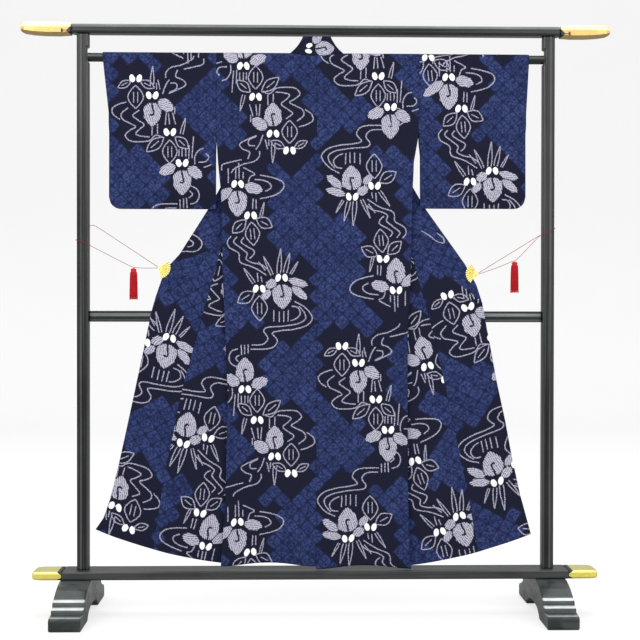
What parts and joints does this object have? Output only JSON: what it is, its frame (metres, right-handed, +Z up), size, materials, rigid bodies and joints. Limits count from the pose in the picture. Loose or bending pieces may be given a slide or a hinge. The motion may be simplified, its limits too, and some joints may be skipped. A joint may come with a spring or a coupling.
{
  "type": "cotton yukata robe on a kimono stand",
  "caption": "Shibori-dyed cotton yukata robe hung from the rod of a black lacquered kimono stand, back to the viewer, with both fronts opened and held by fan clips on tasselled cords.",
  "frame": {"origin": "on the floor, at the middle of the stand's footprint", "axes": "+Z up, +X to the right of a viewer who faces the robe's back, +Y away from that viewer, through the stand"},
  "size_m": [1.82, 0.5, 1.8271],
  "materials": {
    "dyed_cotton": "matte tie-dyed cotton, navy and blue with pale motifs",
    "black_lacquer": "semi-gloss black lacquer on wood",
    "gold_fitting": "polished gold-coloured sheet metal",
    "red_silk": "soft sheen twisted cord and tassel"
  },
  "bodies": {
    "root": {"body_left": "dyed_cotton", "body_right": "dyed_cotton", "bottom_bar": "black_lacquer", "bottom_cap_left": "gold_fitting", "bottom_cap_right": "gold_fitting", "clip_left": "gold_fitting", "clip_right": "gold_fitting", "collar": "dyed_cotton", "cord_left": "red_silk", "cord_right": "red_silk", "foot_left": "black_lacquer", "foot_right": "black_lacquer", "hanging_rod": "black_lacquer", "mid_bar": "black_lacquer", "okumi_left": "dyed_cotton", "okumi_right": "dyed_cotton", "post_left": "black_lacquer", "post_right": "black_lacquer", "sleeve_left": "dyed_cotton", "sleeve_right": "dyed_cotton", "tassel_left": "red_silk", "tassel_right": "red_silk", "top_bar": "black_lacquer", "top_cap_left": "gold_fitting", "top_cap_right": "gold_fitting"}
  },
  "joints": []
}
